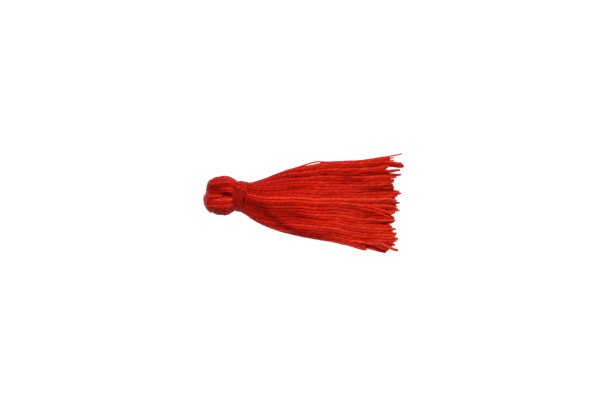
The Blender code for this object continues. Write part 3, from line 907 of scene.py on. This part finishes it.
def skirt_pieces(material):
    """The skirt's threads, from under the binding to their cut ends, in pieces across the fan."""
    random = np.random.default_rng(SEED + 1)
    x, points = skirt_paths()
    end_y, reach, short, taper = cut_ends(points, random)
    step = TWIST_LENGTH / SEGMENTS_PER_TURN
    count = points.shape[1]
    order = np.argsort(np.argsort(points[STATIONS // 2, :, 0]))
    radius_x, radii = np.transpose(THREAD_RADII)
    yarns = [Yarn() for _ in SKIRT_PIECES]
    for thread in range(count):
        line = skirt_line(x[:, thread], points[:, thread], reach[thread], step)
        wander(line, random)
        along_x = line[:, 0]
        # Painted shade near the neck, in the hollow and in the partings, and painted light on the
        # short lock and two locks, go into each thread's tone.
        neck_share = 1 - eased((along_x - NECK_X) / NECK_TONE_LENGTH)
        tone = random.normal(0, SKIRT_TONE_SPREAD) + NECK_TONE * neck_share
        tone = tone + SHORT_LOCK["tone"] * short[thread] - in_hollow(along_x, line[:, 1], "shade")
        bend = -SHORT_LOCK["splay"] * short[thread]
        if not np.isnan(end_y[thread]):
            bend = end_y[thread] - line[-1, 1]
        line[:, 1] += bend * eased((along_x - reach[thread] + END_BEND) / END_BEND)
        line[:, 2] = np.maximum(line[:, 2], THREAD_RADIUS * FLOOR_TOUCH)
        tapered = np.clip(1 + (along_x - reach[thread]) / TAPERED_LENGTH, 0, 1)
        radius = np.interp(along_x, radius_x, radii) * (1 - taper[thread] * tapered)
        fray = random.uniform(*FRAY_RANGE) if random.random() < FRAYED_SHARE else 0.0
        loosening = eased((along_x - UNTWIST_START) / UNTWIST_LENGTH)
        yarns[order[thread] * len(yarns) // count].thread(
            line, radius, random, tone, RELIEF * (1 - RELIEF_LOSS * loosening), fray,
            twist=random.uniform(*TWIST_LENGTHS) * (1 + UNTWIST * loosening),
        )
    for rows, tone in CROSSING_THREADS:
        line = smooth_line(rows, step)
        yarns[1].thread(line, CROSSING_RADIUS, random, tone, RELIEF, twist=TWIST_LENGTHS[1])
    yarns[-1].strand(LOOSE_PLY, PLY_RADIUS)
    for rows in FRAYED_PLIES:
        yarns[-1].strand(rows, PLY_RADIUS)
    yarns[-1].strand(CURLED_FIBRE, FIBRE_RADIUS, FIBRE_TONE, FIBRE_SIDES)
    return [yarn.piece(name, material) for yarn, name in zip(yarns, SKIRT_PIECES)]


# The head


def crown_share(eta):
    """The fold's reach at each place across the head, as a share of its reach in the middle."""
    power = np.where(eta > 0, CORNER_POWER_UPPER, CORNER_POWER_LOWER)
    corner = np.clip(1 - np.abs(eta) ** power, 0, 1) ** (1 / power)
    return corner * (1 - UPPER_LOBE_SETBACK * eased((eta - LOBE_EDGE) / LOBE_EDGE_WIDTH))


def in_cleft(eta, x, name):
    """How far the cleft sinks the top of the head, or how much painted shade it puts on the threads
    there.
    """
    total = 0.0
    for hollow in CLEFT_HOLLOWS:
        away = x - hollow["x"]
        across = (eta - hollow["eta"] + CLEFT_ETA_PER_MM * away) / hollow["half_width"]
        total = total + hollow[name] * np.exp(-(across**2) - (away / hollow["length"]) ** 2)
    return total * np.clip(CLEFT_END_X - x, 0, 1)


def head_line(eta, inset, deeper, size=1.0):
    """The line of the thread at eta: from under the binding over the crown and back below.

    It lies the inset within the surface, and deeper away from the crown, or is a loop this much
    smaller. Each point is followed by the painted shade there, from the cleft and on the head's
    lower side.
    """
    x = column(HEAD_SECTIONS, "x")
    turn = np.linspace(0, math.pi, CROWN_ROWS + 2)[1:-1]
    forward = np.sin(turn) ** (2 / CROWN_POWER)
    height = np.sign(np.cos(turn)) * np.abs(np.cos(turn)) ** (2 / CROWN_POWER)
    top_inset = np.full(len(x), inset + deeper)
    crown_inset = inset + deeper * (1 - forward)
    width = column(HEAD_SECTIONS, "upper" if eta > 0 else "lower")
    up = column(HEAD_SECTIONS, "up")
    down = column(HEAD_SECTIONS, "down")
    crown_x = x[-1] - (CROWN_REACH * crown_share(eta) - crown_inset) * forward * size
    taper = 0.0 if eta > 0 else LOWER_LOBE_TAPER
    crown_width = width[-1] * (1 - taper * crown_share(eta) * forward)
    crown_z = np.where(height > 0, up[-1], down[-1]) * height
    path_x = np.concatenate([x, crown_x, x[::-1]])
    path_width = np.concatenate([width, crown_width, width[::-1]])
    path_z = np.concatenate([up, crown_z, -down[::-1]])
    path_inset = np.concatenate([top_inset, crown_inset, top_inset])
    section = np.clip(1 - abs(eta) ** SECTION_POWER, 0, 1) ** (1 / SECTION_POWER)
    reach = np.hypot(path_width * eta, path_z * section)
    near_crown = np.abs(path_x - x[-1]) < INSET_REACH
    shrink = 1 - path_inset / np.maximum(reach, LEAST_REACH) * near_crown
    on_top = path_z > 0
    z = (path_z * section * shrink - on_top * in_cleft(eta, path_x, "depth")) * size
    world_x, world_y = leaned(path_x, path_width * eta * shrink)
    world_z = np.maximum(z + AXIS_HEIGHT, HEAD_THREAD_RADIUS)
    # Painted shade from the cleft on top of the head.
    shade = on_top * in_cleft(eta, path_x, "shade")
    # Painted shade on the head's lower side.
    shade = shade + LOWER_SIDE_SHADE * eased((-eta - LOWER_SIDE_START) / LOWER_SIDE_WIDTH)
    return np.stack([world_x, world_y, world_z, shade], axis=1)


def head_top(x, y):
    """The height of the head's upper surface at a point seen from above."""
    along, across = x - NECK_X, y - NECK_Y
    for _ in range(INVERSE_STEPS):
        seen_x, seen_y = leaned(along, across)
        along += x - seen_x
        across += y - seen_y
    rows = HEAD_SECTIONS[::-1]
    inner = max(along, rows[0]["x"])
    width = np.interp(inner, column(rows, "x"), column(rows, "upper" if across > 0 else "lower"))
    up = np.interp(inner, column(rows, "x"), column(rows, "up"))
    eta = np.clip(across / width, -ETA_LIMIT, ETA_LIMIT)
    section = (1 - abs(eta) ** SECTION_POWER) ** (1 / SECTION_POWER)
    forward = (rows[0]["x"] - along) / (CROWN_REACH * crown_share(eta))
    forward = np.clip(forward, 0, FORWARD_LIMIT)
    height = (1 - forward**CROWN_POWER) ** (1 / CROWN_POWER)
    return AXIS_HEIGHT + up * height * section - in_cleft(eta, along, "depth")


def on_head(places, look):
    """Points raised on the head's surface, the first one sunk where a thread comes over it."""
    points = np.array([(x, y, head_top(x, y) + look["rise"]) for x, y in places])
    points[0, 2] -= look["sink"]
    return points


def beside_neck(along, across):
    """A point seen from above, given along and across the neck's axis."""
    x = NECK_X + along * math.cos(NECK_LEAN) + across * math.sin(NECK_LEAN)
    y = NECK_Y - along * math.sin(NECK_LEAN) + across * math.cos(NECK_LEAN)
    return x, y


def round_neck(rows):
    """Points round the neck, each from its angle from the top, place along it and radius."""
    angle, along, radius = np.transpose(rows)
    angle = np.radians(angle)
    x, y = beside_neck(along, radius * np.sin(angle))
    return np.stack([x, y, AXIS_HEIGHT + radius * np.cos(angle)], axis=1)


def spread_over_fold(count):
    """The place across the head of each thread, so that they lie evenly round its outline."""
    eta = np.linspace(-LAST_ETA, LAST_ETA, CURVE_POINTS)
    section = HEAD_SECTIONS[-1]
    across = eta * np.where(eta > 0, section["upper"], section["lower"])
    along = arc_length(np.stack([CROWN_REACH * crown_share(eta), across], axis=1))
    share = (np.arange(count) + 0.5) / count
    return np.interp(share * along[-1], along, eta)


def inner_head_piece(material):
    """The threads inside the head, seen at its sides through the outer ones."""
    random = np.random.default_rng(SEED + 4)
    yarn = Yarn()
    step = HEAD_TWIST_LENGTH / SEGMENTS_PER_TURN * INNER_STEP_SHARE
    for side in (-1, 1):
        for eta, size in INNER_LOOPS:
            line = head_line(side * eta, INNER_SINK, 0.0, size)
            line = smooth_line(line[:, :3], step)
            # HEAD_TONE is painted shade here too.
            tone = HEAD_TONE + random.normal(0, INNER_TONE_SPREAD)
            yarn.thread(
                line, HEAD_THREAD_RADIUS, random, tone, HEAD_RELIEF, twist=HEAD_TWIST_LENGTH
            )
    return yarn.piece("head_inner_threads", material)


def head_piece(material):
    """The head: two layers of threads over the fold, and those that stand out on it."""
    random = np.random.default_rng(SEED + 2)
    yarn = Yarn()
    step = HEAD_TWIST_LENGTH / SEGMENTS_PER_TURN
    for layer in HEAD_LAYERS:
        for eta in spread_over_fold(layer["threads"]):
            line = smooth_line(head_line(eta, layer["inset"], layer["deeper"]), step)
            line, shade = line[:, :3].copy(), line[:, 3]
            middle = np.sin(np.linspace(0, math.pi, len(line)))
            line[:, 1] += middle * slow_noise(random, len(line), **HEAD_SIDEWAYS)
            line[:, 2] += middle * slow_noise(random, len(line), **HEAD_UPWARD)
            line[:, 2] = np.maximum(line[:, 2], HEAD_THREAD_RADIUS * FLOOR_TOUCH)
            # The thread's tone takes the painted shade of HEAD_TONE, the cleft and the lower side.
            tone = HEAD_TONE + random.normal(0, HEAD_TONE_SPREAD) - shade
            yarn.thread(
                line, HEAD_THREAD_RADIUS, random, tone, HEAD_RELIEF, twist=HEAD_TWIST_LENGTH
            )

    def rope(points, look):
        line = smooth_line(points, ROPE_TWIST_LENGTH / SEGMENTS_PER_TURN)
        yarn.thread(
            line, look["radius"], random, look["tone"], look["relief"], twist=ROPE_TWIST_LENGTH
        )

    rope(on_head(LOWER_ROPE, LOWER_ROPE_LOOK), LOWER_ROPE_LOOK)
    edge = on_head(CLEFT_EDGE_PLY, CLEFT_EDGE_LOOK)
    yarn.strand(edge, CLEFT_EDGE_LOOK["radius"], CLEFT_EDGE_LOOK["tone"])
    rope(np.vstack([on_head(UPPER_ROPE, UPPER_ROPE_LOOK), round_neck(LAST_TURN)]), UPPER_ROPE_LOOK)
    for rows in BINDING_CROSSINGS:
        rope(round_neck(rows), BINDING_CROSSING_LOOK)
    return yarn.piece("head_threads", material)


def binding_piece(material):
    """The binding: one thread wound in turns round the neck, its ends tucked under."""
    random = np.random.default_rng(SEED + 3)
    steps = BINDING_STEPS
    turns = len(BINDING_TURNS)
    turn = np.arange(-steps // 3, turns * steps + steps // 3) / steps
    angle = 2 * math.pi * (turn - 0.5)
    row = np.clip(turn - 0.5, 0, turns - 1)
    rows = np.arange(turns)
    on_top = np.clip(np.cos(angle), 0, 1)
    top, side = (np.interp(row, rows, places) for places in np.transpose(BINDING_TURNS))
    degrees = np.degrees(np.angle(np.exp(1j * angle)))
    slot = np.exp(-(((degrees - SLOT_ANGLE) / SLOT_HALF_ANGLE) ** SLOT_POWER)) * (turn > turns - 1)
    slant = np.interp(row, [0, turns - 1], [BINDING_SLANT_FIRST, BINDING_SLANT_LAST])
    slant = slant * np.where(np.sin(angle) > 0, UPPER_SLANT_SHARE, 1)
    along = side * (1 - on_top) + top * on_top + slant * np.sin(angle) - SLOT_SHIFT * slot
    tucked = np.clip(np.abs(turn - turns / 2) - turns / 2, 0, 1)
    radius = BINDING_RADIUS - TUCK_DEPTH * tucked - SLOT_DEPTH * slot
    radius = radius + slow_noise(random, len(turn), BINDING_WAVES, BINDING_UNEVENNESS)
    x, y = beside_neck(along, radius * np.sin(angle))
    line = np.stack([x, y, AXIS_HEIGHT + radius * np.cos(angle)], axis=1)
    line = smooth_line(line, TWIST_LENGTH / SEGMENTS_PER_TURN)
    yarn = Yarn()
    yarn.thread(line, BINDING_THREAD_RADIUS, random, BINDING_TONE, BINDING_RELIEF)
    return yarn.piece("binding_thread", material)


# Materials


def set_sockets(node, values):
    for name, value in values.items():
        node.inputs[name].default_value = value


def add_node(tree, kind, values, **settings):
    node = tree.nodes.new(kind)
    for name, value in settings.items():
        setattr(node, name, value)
    set_sockets(node, values)
    return node


def silk_material(name, dark, middle, light, roughness):
    """Twisted silk with fine fibres along the ply, in each thread's tone and its painted shade and
    light.
    """
    material = bpy.data.materials.new(name)
    material.use_nodes = True
    tree = material.node_tree
    link = tree.links.new
    shader = tree.nodes["Principled BSDF"]
    set_sockets(shader, SILK_SOCKETS)
    fibre = add_node(tree, "ShaderNodeAttribute", {}, attribute_name="fibre")
    tone = add_node(tree, "ShaderNodeAttribute", {}, attribute_name="tone")
    stretch = add_node(tree, "ShaderNodeMapping", {"Scale": FIBRE_STRETCH})
    link(fibre.outputs["Vector"], stretch.inputs["Vector"])
    fine = add_node(tree, "ShaderNodeTexNoise", {"Scale": 1.0, "Detail": FIBRE_DETAIL})
    link(stretch.outputs["Vector"], fine.inputs["Vector"])
    patch = add_node(tree, "ShaderNodeTexNoise", {"Scale": PATCH_SCALE, "Detail": PATCH_DETAIL})
    link(fibre.outputs["Vector"], patch.inputs["Vector"])
    fine_share = add_node(
        tree, "ShaderNodeMath", {1: FIBRE_SHARE, 2: BASE_TONE}, operation="MULTIPLY_ADD"
    )
    link(fine.outputs["Fac"], fine_share.inputs[0])
    patch_share = add_node(tree, "ShaderNodeMath", {1: PATCH_SHARE}, operation="MULTIPLY_ADD")
    link(patch.outputs["Fac"], patch_share.inputs[0])
    link(fine_share.outputs[0], patch_share.inputs[2])
    total = add_node(tree, "ShaderNodeMath", {}, operation="ADD", use_clamp=True)
    link(patch_share.outputs[0], total.inputs[0])
    link(tone.outputs["Fac"], total.inputs[1])
    ramp = add_node(tree, "ShaderNodeValToRGB", {})
    ramp.color_ramp.elements[0].color = (*dark, 1)
    ramp.color_ramp.elements[0].position = DARK_PLACE
    ramp.color_ramp.elements[1].color = (*light, 1)
    ramp.color_ramp.elements[1].position = LIGHT_PLACE
    ramp.color_ramp.elements.new(MIDDLE_PLACE).color = (*middle, 1)
    link(total.outputs[0], ramp.inputs["Fac"])
    link(ramp.outputs["Color"], shader.inputs["Base Color"])
    bump = add_node(tree, "ShaderNodeBump", {"Strength": BUMP_STRENGTH, "Distance": BUMP_HEIGHT})
    link(fine.outputs["Fac"], bump.inputs["Height"])
    link(bump.outputs["Normal"], shader.inputs["Normal"])
    limits = {"To Min": roughness - ROUGHNESS_BELOW, "To Max": roughness + ROUGHNESS_ABOVE}
    rough = add_node(tree, "ShaderNodeMapRange", limits)
    link(fine.outputs["Fac"], rough.inputs["Value"])
    link(rough.outputs["Result"], shader.inputs["Roughness"])
    return material


def surface_material():
    """The matt white surface, bright enough to show no shadow, as in the photograph."""
    material = bpy.data.materials.new("white_surface")
    material.use_nodes = True
    set_sockets(material.node_tree.nodes["Principled BSDF"], SURFACE_SOCKETS)
    return material


# The studio


def add_camera():
    """A long lens straight above the tassel, at the photograph's scale."""
    camera = bpy.data.cameras.new("camera")
    camera.lens = LENS
    camera.sensor_width = SENSOR
    camera.clip_start = CLIP_START
    camera.clip_end = CLIP_END
    distance = PHOTO_WIDTH * MM_PER_PIXEL * LENS / SENSOR
    holder = bpy.data.objects.new("camera", camera)
    holder.location = (0.0, 0.0, (distance + FOCUS_HEIGHT) * MM)
    bpy.context.scene.collection.objects.link(holder)
    bpy.context.scene.camera = holder


def add_light(name, place, size, power):
    """A round lamp aimed at the tassel."""
    light = bpy.data.lights.new(name, "AREA")
    light.shape = "DISK"
    light.size = size
    light.energy = power
    holder = bpy.data.objects.new(name, light)
    holder.location = place
    aim = -holder.location
    holder.rotation_euler = aim.to_track_quat("-Z", "Y").to_euler()
    bpy.context.scene.collection.objects.link(holder)


def add_studio():
    """The white surface, an even white sky and one lamp."""
    bpy.ops.mesh.primitive_plane_add(size=SURFACE_SIZE, location=(0, 0, 0))
    floor = bpy.context.object
    floor.name = "white_surface"
    floor.data.materials.append(surface_material())
    world = bpy.data.worlds.new("studio")
    bpy.context.scene.world = world
    world.use_nodes = True
    background = world.node_tree.nodes["Background"]
    background.inputs["Color"].default_value = WHITE
    background.inputs["Strength"].default_value = SKY_STRENGTH
    add_light("key", **KEY_LIGHT)
    bpy.context.scene.view_settings.view_transform = "Standard"


def main():
    add_camera()
    add_studio()
    silk = silk_material("red_silk", **RED_SILK)
    wound_silk = silk_material("wound_red_silk", **WOUND_SILK)
    for piece in skirt_pieces(silk) + [head_piece(silk), inner_head_piece(silk)]:
        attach(piece, "root")
        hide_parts("hank")
    binding = binding_piece(wound_silk)
    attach(binding, "root")
    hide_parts("neck_binding")


main()
